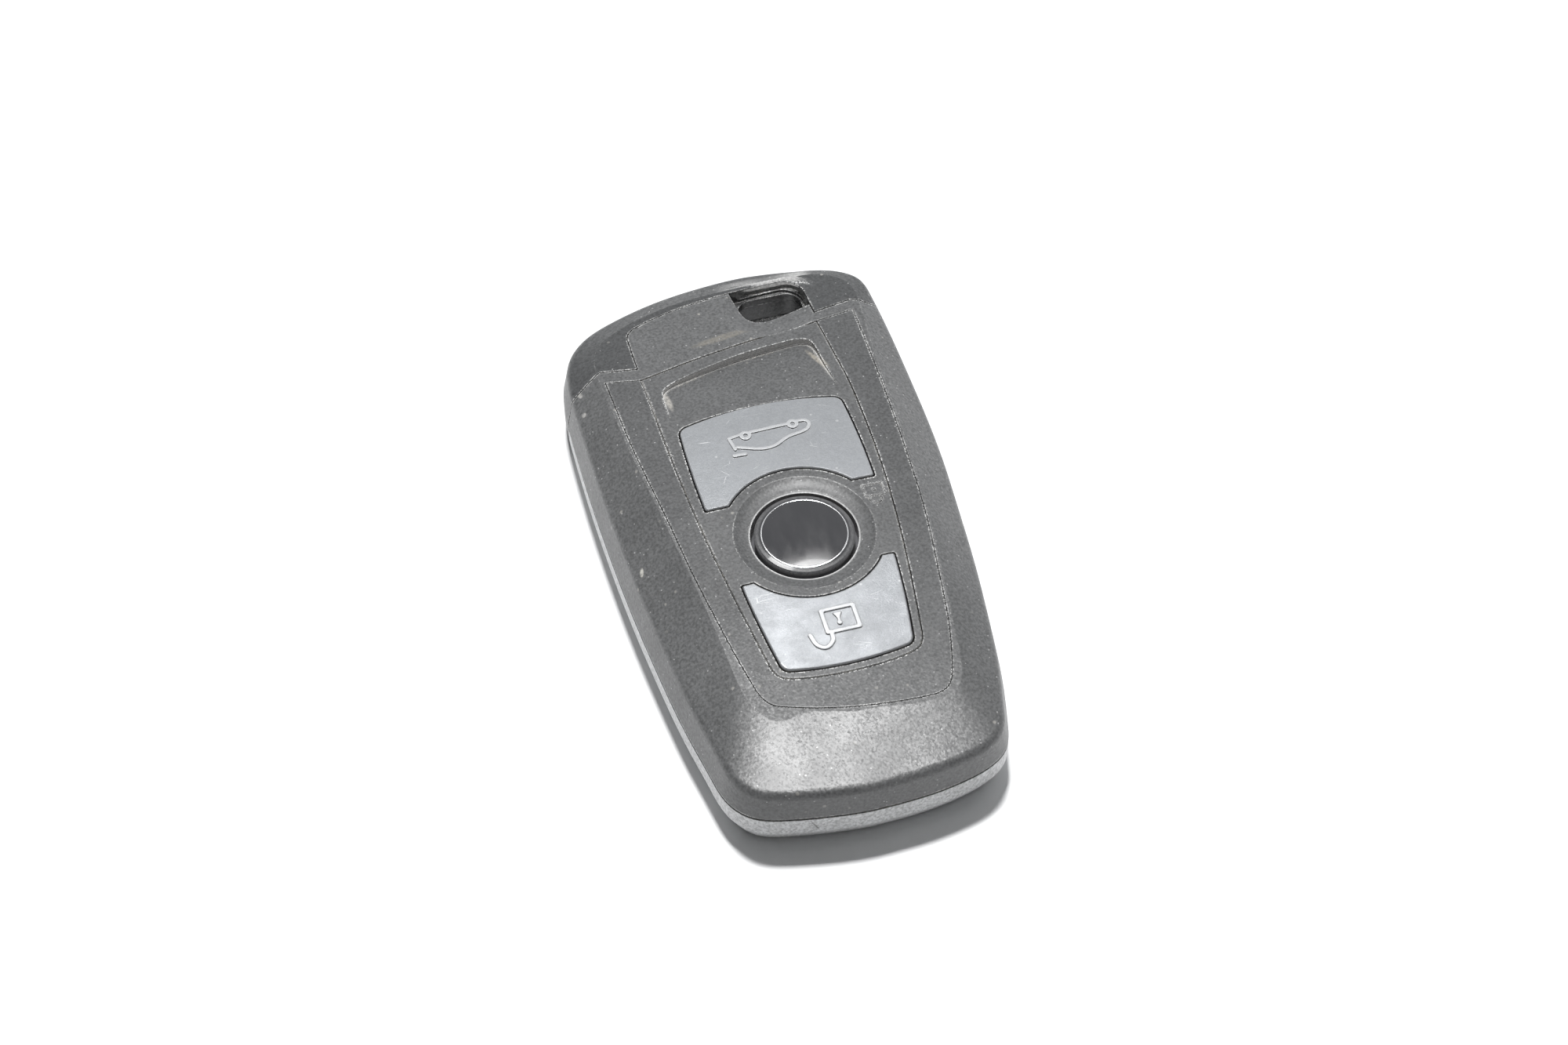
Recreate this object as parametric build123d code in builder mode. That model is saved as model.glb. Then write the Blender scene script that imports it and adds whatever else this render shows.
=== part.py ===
from build123d import *
import math
import os

os.makedirs("parts", exist_ok=True)

# ---------------------------------------------------------------------------
# Car key fob lying on its back, front face up. Millimetres, +Z up.
# Y is the long axis, with the key-ring end at +Y. X runs across.
# Origin: centre of the bounding box, on the plane it rests on.
# Plan coordinates below are measured from the centre of the round middle
# button, which sits at (DX, DY) in the part's frame.
# ---------------------------------------------------------------------------
DX, DY = 0.3, -5.7            # centre of the round button in the part's frame
TOP = 13.4                    # overall thickness, at the crest of the front face
CROWN_R = 245.0               # front face: radius of curvature
CROWN_Y = 4.0                 # crest of the front face, ahead of the round button
Z_LIP = 2.7                   # lower edge of the rear shell's side wall
Z_REAR = 5.1                  # top edge of the rear shell's wall
Z_FRONT = 5.4                 # bottom edge of the front shell's wall
Z_SHOULDER = 9.2              # where the flanks meet the side wall
Z_LOFT = 13.45                # flanks are carried on up to here, then crowned
R_SHOULDER = 1.2
R_LIP = 0.7
R_FOOT = 0.6
UNDER_BEVEL = 1.3             # how far the underside is drawn in
WALL = 1.6                    # shell wall
SEAM = 0.16                   # gap between the key head and the shells
GROOVE = 0.10                 # gap round the trim and the keypad frame
EDGE = 0.14                   # small chamfer on visible edges
Z_LEDGE = 10.9                # ledge that carries trim and keypad frame
Z_DECK = 9.9                  # underside of that ledge
TRAVEL = 0.45                 # travel of the three front buttons
BTN_Z = 10.5                  # underside of the front buttons' caps
BTN_FOOT = 10.15              # underside of their plungers
PROUD = 0.15                  # front buttons stand this far above the frame
RELIEF = 0.14                 # height of the raised symbols
R_NOTCH = 9.6                 # buttons are notched round the middle button
R_RECESS = 6.35               # bore for the middle button
R_DISH = 8.45                 # dished ring round it
R_DISC = 5.9                  # middle button
R_RING = 5.15                 # outer radius of its bright ring
CELL_R, CELL_H, CELL_Z = 12.25, 5.0, 1.5      # 24.5 x 5.0 mm coin cell
CELL_X, CELL_Y = 3.95, -5.0
COVER_T = 1.15                # battery cover
PCB_Z, PCB_T = 7.9, 0.8
BLADE_X0, BLADE_X1 = -15.6, -8.8
BLADE_Z, BLADE_T = 5.5, 2.2
BLADE_TIP = -19.0
PLATE_Z0, PLATE_Z1 = 4.9, 8.4  # tongue of the key head between the shells
PLATE_Y = 24.0
RELEASE_X, RELEASE_Y = -2.0, 33.0
RELEASE_TRAVEL = 0.7
COVER_IN = 2.35               # rear shell's rim round the battery cover
LUGS = [(-6.0, -27.0), (4.0, -28.0), (-5.0, 18.6), (8.0, 18.6)]
POSTS = [(16.3, 16.0), (12.0, -24.2), (-11.6, -25.4), (-17.4, 17.0)]

# Plan outlines, counter-clockwise from the middle of the near end ----------
# side wall
WALL_PLAN = [(-0.8, -34.25), (5.05, -33.95), (9.8, -33.1), (13.0, -31.95), (15.1, -30.2), (16.3, -27.0), (17.35, -22.5),
             (18.6, -14.5), (19.6, -6), (20.3, 2), (20.85, 10), (21.0, 18), (20.9, 26), (20.65, 33), (20.3, 38.2),
             (19.6, 41.4), (17.6, 43.2), (12, 44.85), (5.8, 45.6), (-1, 45.3), (-7.5, 44.25), (-13, 42.55),
             (-17.4, 40.4), (-20.0, 37.4), (-21.15, 33), (-21.5, 27), (-21.6, 19), (-21.45, 10), (-21.0, 0),
             (-20.2, -10), (-19.15, -19), (-18.15, -25), (-17.05, -29.3), (-15.1, -31.6), (-11.5, -32.95), (-6.6, -33.8)]
# shoulder
SHOULDER_PLAN = [(-0.8, -33.85), (5.0, -33.55), (9.6, -32.75), (12.6, -31.65), (14.45, -30.0), (15.55, -27), (16.6, -22.4),
                 (17.85, -14.5), (18.85, -6), (19.5, 2), (20.05, 10), (20.2, 18), (20.1, 26), (19.9, 33), (19.6, 38.1),
                 (18.95, 41.1), (17.2, 42.75), (11.8, 44.35), (5.7, 45.15), (-1, 44.85), (-7.3, 43.8), (-12.8, 42.1),
                 (-17.0, 39.95), (-19.4, 37.1), (-20.45, 32.8), (-20.65, 27), (-20.65, 19), (-20.45, 10), (-19.95, 0),
                 (-19.15, -10), (-18.2, -19), (-17.25, -25), (-16.3, -29.1), (-14.6, -31.15), (-11.2, -32.45), (-6.5, -33.4)]
# where the flanks run out into the crowned front face
FACE_PLAN = [(-0.8, -25.1), (4.0, -25.6), (7.3, -25.65), (9.4, -25.2), (10.7, -24.2), (11.5, -22.4), (12.1, -19.5),
             (13.1, -13), (14.1, -5.8), (14.95, 1.5), (15.5, 9), (15.9, 17), (16.3, 26), (16.5, 33), (16.4, 37.4),
             (15.9, 39.3), (14.4, 40.5), (10.4, 41.8), (5, 42.5), (-1, 42.3), (-6.6, 41.3), (-11.2, 39.8),
             (-14.3, 38.0), (-16.0, 35.8), (-16.6, 32.5), (-16.7, 27), (-16.4, 19), (-15.6, 10.5), (-14.65, 1),
             (-13.5, -9), (-12.3, -17), (-11.6, -20.3), (-10.7, -22.2), (-9.3, -23.0), (-7.0, -23.8), (-4.2, -24.5)]
# trim: left side, near end and right side, from far left to far right
TRIM_SIDE = [(-16.45, 30.4), (-16.3, 25.8), (-16.0, 18.5), (-15.5, 12.5), (-14.85, 6.1), (-14.15, -1.7), (-13.3, -8.2),
             (-12.1, -15.8), (-11.55, -18.6), (-10.95, -20.7), (-10.0, -21.95), (-8.6, -22.6), (-6.35, -23.35),
             (-3.85, -24.0), (-0.8, -24.6), (2, -24.95), (4.5, -25.15), (7.3, -25.2), (8.9, -25.0), (9.9, -24.4),
             (10.6, -23.3), (11.15, -21.6), (12.25, -17.2), (13.2, -11), (13.95, -5.6), (14.65, 0.4), (15.15, 8),
             (15.5, 15), (15.8, 22), (16.05, 29), (16.2, 34.5)]
# far edge of trim and keypad frame, right to left, with a kink near its left end
FAR_EDGE = [(16.2, 34.5), (13.6, 33.88), (11.2, 33.4), (9.2, 33.08), (6.84, 32.75), (2.45, 32.1), (-2.36, 31.3), (-7.15, 30.38),
            (-10.72, 29.63), (-12.4, 29.35)]
# keypad frame
FRAME_SIDE = [(-12.3, 29.36), (-12.2, 24.5), (-12.15, 17.1), (-11.95, 11), (-11.6, 5), (-11.2, 0), (-10.6, -5.7), (-10.2, -8.9),
              (-9.15, -16.4), (-8.85, -17.8), (-8.2, -18.8), (-7.1, -19.3), (-5, -19.75), (-2.5, -20.0), (0, -20.08),
              (2.5, -20.0), (5, -19.75), (7.1, -19.3), (8.2, -18.8), (8.85, -17.8), (9.15, -16.4), (10.2, -8.9),
              (10.6, -5.7), (11.2, 0), (11.6, 5), (11.9, 11), (12.0, 17.1), (11.95, 22.5), (11.7, 26), (11.45, 30),
              (11.2, 33.4)]
FRAME_FAR = [(11.2, 33.4), (9.2, 33.08), (6.84, 32.75), (2.45, 32.1), (-2.36, 31.3), (-7.15, 30.38), (-10.72, 29.63), (-12.3, 29.36)]
# deeper part of the keypad frame, under the finger dip
DEEP_EDGE = [(-11.6, 21.4), (0.0, 21.4), (11.1, 21.4), (11.0, 26.0), (10.6, 32.6), (8.8, 32.25), (2.4, 31.35), (-2.4, 30.6),
             (-7.2, 29.65), (-11.6, 28.8)]
# shallow finger dip ahead of the far button
DIP_EDGE = [(-10.5, 20.2), (-10.45, 22.5), (-10.4, 25.4), (-10.0, 26.6), (-9.0, 27.35), (-7.4, 27.95), (-2.3, 29.35), (1.9, 30.15),
            (6.0, 30.6), (8.2, 30.62), (9.2, 30.15), (9.6, 29.1), (9.85, 26.0), (10.25, 22.2), (10.4, 20.2)]
# seam between key head and shells, left to right, under the arch
SEAM_LINE = [(-27, 27.4), (-20.9, 30.35), (-16.6, 32.45), (-12.2, 31.4), (11.45, 35.15), (15.15, 36.1), (16.2, 36.35),
             (18.6, 35.75), (27, 35.6)]
# near edge of the key-ring eye
EYE_EDGE = [(2.0, 43.0), (2.1, 41.4), (2.4, 39.8), (2.66, 38.3), (3.04, 37.1), (3.75, 36.3), (4.95, 35.95), (7.0, 36.3),
            (9.1, 36.7), (11.3, 36.95), (13.0, 37.05)]


def at(p, dy=0.0):
    """Plan point measured from the round button -> point in the part's frame."""
    return (p[0] + DX, p[1] + DY + dy)


def inset(loop, d):
    """Closed counter-clockwise loop, moved inwards by d."""
    out = []
    for i in range(len(loop)):
        (ax, ay), (bx, by) = loop[i - 1], loop[(i + 1) % len(loop)]
        n = math.hypot(bx - ax, by - ay)
        out.append((loop[i][0] - (by - ay) / n * d, loop[i][1] + (bx - ax) / n * d))
    return out


def crown_z(x, y):
    return TOP - CROWN_R + math.sqrt(CROWN_R ** 2 - x * x - (y - CROWN_Y) ** 2)


def carried(a, b):
    """Flank line from shoulder point a through face point b, carried up to Z_LOFT."""
    k = (Z_LOFT - Z_SHOULDER) / (crown_z(*b) - Z_SHOULDER)
    return (a[0] + (b[0] - a[0]) * k, a[1] + (b[1] - a[1]) * k)


FLANK_PLAN = [carried(a, b) for a, b in zip(SHOULDER_PLAN, FACE_PLAN)]


def loop_face(points):
    """Face inside a smooth closed outline, in the current sketch."""
    with BuildSketch() as plan:
        with BuildLine():
            Spline(*[at(p) for p in points], periodic=True)
        make_face()
    return plan.sketch


def outline_face(chains, d):
    """Face inside a counter-clockwise ring of smooth chains that share their end points, drawn in by d."""
    ring = [p for chain in chains for p in chain[:-1]]
    moved = []
    for k in range(len(ring)):
        (ax, ay), (bx, by), (cx, cy) = ring[k - 1], ring[k], ring[(k + 1) % len(ring)]
        la, lb = math.hypot(bx - ax, by - ay), math.hypot(cx - bx, cy - by)
        na, nb = (-(by - ay) / la, (bx - ax) / la), (-(cy - by) / lb, (cx - bx) / lb)
        q = d / (1 + na[0] * nb[0] + na[1] * nb[1])
        moved.append((bx + (na[0] + nb[0]) * q, by + (na[1] + nb[1]) * q))
    with BuildSketch() as plan:
        with BuildLine():
            start = 0
            for chain in chains:
                run = [moved[(start + k) % len(ring)] for k in range(len(chain))]
                start += len(chain) - 1
                if len(run) == 2:
                    Line(at(run[0]), at(run[1]))
                else:
                    Spline(*[at(p) for p in run])
        make_face()
    return plan.sketch


def trim_face(d=0.0):
    return outline_face([TRIM_SIDE, FAR_EDGE, [FAR_EDGE[-1], TRIM_SIDE[0]]], d)


def frame_face(d=0.0):
    return outline_face([FRAME_SIDE, FRAME_FAR], d)


def deep_face(d):
    with BuildSketch() as plan:
        with BuildLine():
            Polyline(*[at(p) for p in inset(DEEP_EDGE, d)], close=True)
        make_face()
    return plan.sketch


def ribbon(points, width, steps=4):
    """Flat stroke of even width along a smooth curve through the points."""
    path = []
    for k in range(len(points) - 1):
        p0, p1, p2, p3 = points[max(k - 1, 0)], points[k], points[k + 1], points[min(k + 2, len(points) - 1)]
        for m in range(steps):
            t = m / steps
            path.append(tuple(0.5 * (2 * b + (c - a) * t + (2 * a - 5 * b + 4 * c - e) * t * t + (3 * b - a - 3 * c + e) * t ** 3)
                              for a, b, c, e in zip(p0, p1, p2, p3)))
    path.append(points[-1])
    left, right = [], []
    for k in range(len(path)):
        (ax, ay), (bx, by) = path[max(k - 1, 0)], path[min(k + 1, len(path) - 1)]
        n = math.hypot(bx - ax, by - ay)
        nx, ny = -(by - ay) / n * width / 2, (bx - ax) / n * width / 2
        left.append((path[k][0] + nx, path[k][1] + ny))
        right.append((path[k][0] - nx, path[k][1] - ny))
    with BuildSketch() as plan:
        with BuildLine():
            Polyline(*[at(p) for p in left + right[::-1]], close=True)
        make_face()
        with Locations(at(points[0]), at(points[-1])):
            Circle(width / 2)
    return plan.sketch


def far_button_face(d=0.0):
    """Far button's outline, let out by d. It is notched round the middle button."""
    y = 6.05 - d
    x = math.sqrt((9.63 - d) ** 2 - y * y)
    with BuildSketch() as plan:
        with BuildLine():
            Line(at((-10.23 - d, y)), at((-x, y)))
            ThreePointArc(at((-x, y)), at((0, 9.63 - d)), at((x, y)))
            Line(at((x, y)), at((10.23 + d, y)))
            ThreePointArc(at((10.23 + d, y)), at((10.3 + d, 12.5)), at((10.0 + d, 19.35 + d)))
            ThreePointArc(at((10.0 + d, 19.35 + d)), at((0, 20.65 + d)), at((-10.0 - d, 19.35 + d)))
            ThreePointArc(at((-10.0 - d, 19.35 + d)), at((-10.3 - d, 12.5)), at((-10.23 - d, y)))
        make_face()
        fillet(plan.vertices().group_by(Axis.Y)[-1], 1.25 + d)
        fillet(plan.vertices().filter_by(lambda v: abs(v.X - DX) > 10.2 + d and abs(v.Y - DY - y) < 0.01), 0.35)
    return plan.sketch


def near_button_face(d=0.0):
    """Near button's outline, let out by d."""
    y = 5.7 - d
    x = math.sqrt((9.57 - d) ** 2 - y * y)
    with BuildSketch() as plan:
        with BuildLine():
            Line(at((-9.1 - d, -y)), at((-x, -y)))
            ThreePointArc(at((-x, -y)), at((0, -9.57 + d)), at((x, -y)))
            Line(at((x, -y)), at((9.1 + d, -y)))
            ThreePointArc(at((9.1 + d, -y)), at((8.55 + d, -11.9)), at((7.65 + d, -18.05 - d)))
            ThreePointArc(at((7.65 + d, -18.05 - d)), at((0, -18.95 - d)), at((-7.65 - d, -18.05 - d)))
            ThreePointArc(at((-7.65 - d, -18.05 - d)), at((-8.55 - d, -11.9)), at((-9.1 - d, -y)))
        make_face()
        fillet(plan.vertices().group_by(Axis.Y)[0], 1.2 + d)
        fillet(plan.vertices().filter_by(lambda v: abs(v.X - DX) > 9.05 + d and abs(v.Y - DY + y) < 0.01), 0.3)
    return plan.sketch


def arch_face(gap):
    """Opening of the key head's arch; the shells' tongues fill it."""
    with BuildSketch() as plan:
        with BuildLine():
            a, b = at((-12.3 + gap, 26)), at((-12.05 + gap, 38.25 - gap))
            c, d = at((11.2 - gap, 42.0 - gap)), at((11.75 - gap, 26))
            Line(a, b)
            Spline(b, at((-6.9, 40.15 - gap)), at((-0.3, 41.35 - gap)), at((5.0, 41.85 - gap)), c)
            Line(c, d)
            Line(d, a)
        make_face()
    return plan.sketch


def inner_face(loop, far):
    """Straight-sided area inside a loop, cut off square at y = far."""
    with BuildSketch() as plan:
        with BuildLine():
            Polyline(*[at(p) for p in loop[::2]], close=True)
        make_face()
        with Locations(at((0, far + 30))):
            Rectangle(60, 60, mode=Mode.SUBTRACT)
    return plan.sketch


def window_face(d):
    """Opening in the front shell's deck, under the buttons, drawn in by d."""
    with BuildSketch() as plan:
        with BuildLine():
            Polyline(at((-11.0 + d, 20.9 - d)), at((-11.15 + d, 15)), at((-10.9 + d, 8)), at((-9.75 + d, -5.5)), at((-8.3 + d, -16.2)),
                     at((-7.6 + d, -18.2)), at((-5.6, -18.9 + d)), at((0, -19.2 + d)), at((5.6, -18.9 + d)), at((7.6 - d, -18.2)),
                     at((8.3 - d, -16.2)), at((9.75 - d, -5.5)), at((10.9 - d, 8)), at((11.15 - d, 15)), at((11.0 - d, 20.9 - d)),
                     close=True)
        make_face()
    return plan.sketch


def crown(drop):
    """Ball-faced block whose top is the crowned front face, lowered by drop."""
    with BuildPart() as barrel:
        half = 60.0
        mid = DY + CROWN_Y
        axis_z = TOP - drop - CROWN_R
        low = axis_z - math.sqrt(CROWN_R ** 2 - half ** 2)
        with BuildSketch(Plane.YZ.offset(DX)):
            with BuildLine():
                ThreePointArc((mid - half, low), (mid, axis_z - CROWN_R), (mid + half, low))
                Polyline((mid + half, low), (mid + half, axis_z), (mid - half, axis_z), (mid - half, low))
            make_face()
        revolve(axis=Axis((DX, 0, axis_z), (0, 1, 0)), revolution_arc=360)
    return barrel.part


def level(z):
    """Horizontal edges lying at height z, for a selector."""
    return lambda e: abs(e.bounding_box().min.Z - z) < 0.01 and abs(e.bounding_box().max.Z - z) < 0.01


# ---------------------------------------------------------------------------
# Envelope: the whole outer form, from which shells and key head are taken
# ---------------------------------------------------------------------------
with BuildPart() as envelope:
    for z, plan in ((0, inset(WALL_PLAN, UNDER_BEVEL)), (Z_LIP, WALL_PLAN), (Z_FRONT, WALL_PLAN),
                    (Z_SHOULDER, SHOULDER_PLAN), (Z_LOFT, FLANK_PLAN)):
        with BuildSketch(Plane.XY.offset(z)):
            add(loop_face(plan))
    loft(ruled=True)
    fillet(envelope.edges().filter_by(level(Z_SHOULDER)), R_SHOULDER)
    fillet(envelope.edges().filter_by(level(Z_LIP)), R_LIP)
    fillet(envelope.edges().filter_by(level(0)), R_FOOT)
    add(crown(0), mode=Mode.INTERSECT)

# Plan area of the shells, used for front shell, rear shell and gasket
with BuildSketch() as shells_plan:
    with BuildLine():
        Polyline(*[at(p, -SEAM) for p in SEAM_LINE], at((27, -45)), at((-27, -45)), at((-27, 27.4 - SEAM)))
    make_face()
with BuildSketch() as tongue_plan:
    add(arch_face(0.12))
    fillet(tongue_plan.vertices().group_by(Axis.Y)[-1], 2.7)
    fillet(tongue_plan.vertices().filter_by_position(Axis.X, DX - 12.2, DX - 11.7).group_by(Axis.Y)[-1], 2.2)
with BuildSketch() as arch_plan:
    add(arch_face(0))
    fillet(arch_plan.vertices().group_by(Axis.Y)[-1], 2.8)
    fillet(arch_plan.vertices().filter_by_position(Axis.X, DX - 12.2, DX - 11.7).group_by(Axis.Y)[-1], 2.3)
with BuildSketch() as eye_plan:
    with BuildLine():
        Spline(*[at(p) for p in EYE_EDGE])
        Polyline(at(EYE_EDGE[-1]), at((13, 48)), at((2, 48)), at(EYE_EDGE[0]))
    make_face()

# ---------------------------------------------------------------------------
# Front shell: flanks, shoulder, side wall, and the tongue under the arch
# ---------------------------------------------------------------------------
with BuildPart() as front_shell:
    with BuildSketch(Plane.XY.offset(Z_FRONT)):
        add(shells_plan.sketch)
        add(tongue_plan.sketch)
        add(eye_plan.sketch, mode=Mode.SUBTRACT)
    extrude(amount=9)
    # pocket for the trim and, deeper at the far end, for the keypad frame
    with BuildSketch(Plane.XY.offset(Z_LEDGE)):
        add(trim_face())
    extrude(amount=5, mode=Mode.SUBTRACT)
    with BuildSketch(Plane.XY.offset(Z_DECK)):
        add(deep_face(0.0))
    extrude(amount=5, mode=Mode.SUBTRACT)
    # hollow inside, in two steps under the flanks
    with BuildSketch(Plane.XY.offset(Z_FRONT)):
        add(inner_face(inset(WALL_PLAN, WALL), 23.0))
    extrude(amount=7.6 - Z_FRONT, mode=Mode.SUBTRACT)
    with BuildSketch(Plane.XY.offset(7.6)):
        add(inner_face(inset(SHOULDER_PLAN, WALL), 23.0))
    extrude(amount=1.15, mode=Mode.SUBTRACT)
    with BuildSketch(Plane.XY.offset(8.75)):
        add(inner_face(inset(FACE_PLAN, -0.9), 23.0))
    extrude(amount=Z_DECK - 8.75, mode=Mode.SUBTRACT)
    # window under the buttons
    with BuildSketch(Plane.XY.offset(Z_DECK - 0.6)):
        add(window_face(0.0))
    extrude(amount=4, mode=Mode.SUBTRACT)
    # slot for the key head's tongue, and channel for the blade
    with BuildSketch(Plane.XY.offset(4)):
        with Locations(at((-0.3, 43.5))):
            Rectangle(24.1, 40.4)
    extrude(amount=PLATE_Z1 + 0.25 - 4, mode=Mode.SUBTRACT)
    with BuildSketch(Plane.XY.offset(4)):
        with Locations(at(((BLADE_X0 + BLADE_X1) / 2, 30))):
            Rectangle(BLADE_X1 - BLADE_X0 + 0.5, 20)
    extrude(amount=BLADE_Z + BLADE_T + 0.2 - 4, mode=Mode.SUBTRACT)
    # outer form, and the scoop that leads into the key-ring eye
    add(envelope.part, mode=Mode.INTERSECT)
    with Locations((DX + 6.6, DY + 39.4, crown_z(6.6, 39.4) + 15.0)):
        Sphere(16.0, mode=Mode.SUBTRACT)
front_shell.part.label = "front_shell"
export_step(front_shell.part, "parts/front_shell.step")

# ---------------------------------------------------------------------------
# Key head: ring end, with the arch, and a tongue held between the shells
# ---------------------------------------------------------------------------
LIP_Z = crown_z(6.9, 43.0) - 1.35  # where the rounded lip over the eye starts

with BuildPart() as eye_lip:
    for rise, grow in ((0.0, 0.0), (0.5, 0.12), (0.9, 0.40), (1.15, 0.75), (1.3, 1.15), (1.42, 1.70)):
        with BuildSketch(Plane.XY.offset(LIP_Z + rise)):
            with Locations((DX + 6.9, DY + 39.15)):
                RectangleRounded(9.2 + 2 * grow, 6.0 + 2 * grow, 2.4 + grow)
    loft(ruled=True)

with BuildPart() as key_head:
    with BuildSketch(Plane.XY.offset(-1)):
        with BuildLine():
            Polyline(*[at(p) for p in SEAM_LINE], at((27, 50)), at((-27, 50)), at(SEAM_LINE[0]))
        make_face()
        add(arch_plan.sketch, mode=Mode.SUBTRACT)
    extrude(amount=16)
    with BuildSketch(Plane.XY.offset(PLATE_Z0)):
        with Locations(at((-0.3, (PLATE_Y + 41.0) / 2))):
            Rectangle(23.6, 41.0 - PLATE_Y)
        with Locations(at((-0.5, 40.5))):
            Rectangle(27, 6.4)
    extrude(amount=PLATE_Z1 - PLATE_Z0)
    add(envelope.part, mode=Mode.INTERSECT)
    # rounded lip where the arch meets the eye, so that a ring runs in over it
    add(eye_lip.part, mode=Mode.SUBTRACT)
    # eye for a key ring: a rounded slot through the tongue, with a thin rim at its top
    with BuildSketch(Plane.XY.offset(PLATE_Z0 - 1)):
        with Locations(at((6.9, 39.15))):
            RectangleRounded(9.2, 6.0, 2.4)
    extrude(amount=3.4, mode=Mode.SUBTRACT)
    with BuildSketch(Plane.XY.offset(PLATE_Z0 + 2)):
        with Locations(at((6.9, 39.05))):
            RectangleRounded(8.2, 5.0, 2.0)
        add(arch_plan.sketch, mode=Mode.INTERSECT)
    extrude(amount=3, mode=Mode.SUBTRACT)
    # pocket for the blade's root, and the bore for its pin
    with BuildSketch(Plane.XY.offset(BLADE_Z)):
        with Locations(at(((BLADE_X0 + BLADE_X1) / 2, 29.0))):
            Rectangle(BLADE_X1 - BLADE_X0, 18.0)
    extrude(amount=BLADE_T, mode=Mode.SUBTRACT)
    with BuildSketch(Plane.XY.offset(3.6)):
        with Locations(at((-14.1, 35.2))):
            Circle(0.9)
    extrude(amount=6.0, mode=Mode.SUBTRACT)
key_head.part.label = "key_head"
export_step(key_head.part, "parts/key_head.step")

with BuildPart() as key_blade:
    with BuildSketch(Plane.XY.offset(BLADE_Z)):
        with BuildLine():
            Polyline(at((BLADE_X0, 38.0)), at((BLADE_X0, BLADE_TIP + 2.6)), at((BLADE_X0 + 2.4, BLADE_TIP)),
                     at((BLADE_X1 - 2.4, BLADE_TIP)), at((BLADE_X1, BLADE_TIP + 2.6)), at((BLADE_X1, 38.0)), close=True)
        make_face()
        with Locations(at((-14.1, 35.2))):
            Circle(0.9, mode=Mode.SUBTRACT)
    extrude(amount=BLADE_T)
    # milled tracks on both flat sides
    with BuildSketch(Plane.XY.offset(BLADE_Z + BLADE_T - 0.7)):
        with BuildLine():
            Polyline(at((-13.4, 24)), at((-13.4, 12)), at((-12.4, 6)), at((-13.4, 0)), at((-12.6, -7)), at((-13.2, -13)),
                     at((-12.4, -18.2)), at((-11.0, -18.2)), at((-11.4, -13)), at((-10.8, -7)), at((-11.6, 0)), at((-10.6, 6)),
                     at((-11.6, 12)), at((-11.6, 24)), close=True)
        make_face()
    extrude(amount=1.0, mode=Mode.SUBTRACT)
    with BuildSketch(Plane.XY.offset(BLADE_Z - 0.3)):
        with Locations(at((-12.2, 2.5))):
            Rectangle(1.8, 43)
    extrude(amount=1.0, mode=Mode.SUBTRACT)
key_blade.part.label = "key_blade"
export_step(key_blade.part, "parts/key_blade.step")

with BuildPart() as blade_pin:
    with BuildSketch(Plane.XY.offset(3.7)):
        with Locations(at((-14.1, 35.2))):
            Circle(0.88)
    extrude(amount=5.8)
    chamfer(blade_pin.edges().filter_by(GeomType.CIRCLE), 0.15)
blade_pin.part.label = "blade_pin"
export_step(blade_pin.part, "parts/blade_pin.step")

# ---------------------------------------------------------------------------
# Rear shell, with the ring that centres the coin cell
# ---------------------------------------------------------------------------
with BuildPart() as rear_shell:
    with BuildSketch():
        add(shells_plan.sketch)
        add(tongue_plan.sketch)
        add(eye_plan.sketch, mode=Mode.SUBTRACT)
    extrude(amount=Z_REAR)
    with BuildSketch(Plane.XY.offset(2.2)):
        add(inner_face(inset(WALL_PLAN, 2.7), 23.0))
    extrude(amount=4, mode=Mode.SUBTRACT)
    # slot under the key head's tongue
    with BuildSketch(Plane.XY.offset(PLATE_Z0 - 0.25)):
        with Locations(at((-0.3, 43.5))):
            Rectangle(24.1, 40.4)
    extrude(amount=4, mode=Mode.SUBTRACT)
    add(envelope.part, mode=Mode.INTERSECT)
    # lip that locates the front shell
    with BuildSketch(Plane.XY.offset(Z_REAR - 0.4)):
        add(inner_face(inset(WALL_PLAN, 2.0), 22.6))
        add(inner_face(inset(WALL_PLAN, 2.7), 22.6), mode=Mode.SUBTRACT)
    extrude(amount=1.5)
    # ring round the coin cell, open where the side contact passes
    with BuildSketch(Plane.XY.offset(2.0)):
        with Locations(at((CELL_X, CELL_Y))):
            Circle(CELL_R + 1.0)
            Circle(CELL_R + 0.2, mode=Mode.SUBTRACT)
            with Locations((0, CELL_R + 0.6)):
                Rectangle(5.2, 3.0, mode=Mode.SUBTRACT)
    extrude(amount=3.0)
    # posts for the circuit board
    with BuildSketch(Plane.XY.offset(2.0)):
        with Locations(*[at(p) for p in POSTS]):
            Circle(0.95)
    extrude(amount=PCB_Z - 2.0)
    # recess for the battery cover, its opening and its lug slots
    with BuildSketch(Plane.XY.offset(-1)):
        add(inner_face(inset(WALL_PLAN, COVER_IN), 21.0))
    extrude(amount=2.2, mode=Mode.SUBTRACT)
    with BuildSketch():
        with Locations(at((CELL_X, CELL_Y))):
            Circle(CELL_R + 0.15)
        with Locations(*[at(p) for p in LUGS]):
            RectangleRounded(3.6, 1.6, 0.3)
    extrude(amount=3.0, mode=Mode.SUBTRACT)
    # window and recess for the release button
    with BuildSketch(Plane.XY.offset(-1)):
        with Locations(at((RELEASE_X, RELEASE_Y))):
            SlotOverall(11.4, 5.9)
    extrude(amount=4, mode=Mode.SUBTRACT)
    with BuildSketch(Plane.XY.offset(2.6)):
        with Locations(at((RELEASE_X, RELEASE_Y))):
            SlotOverall(12.8, 7.3)
    extrude(amount=4, mode=Mode.SUBTRACT)
rear_shell.part.label = "rear_shell"
export_step(rear_shell.part, "parts/rear_shell.step")

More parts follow.
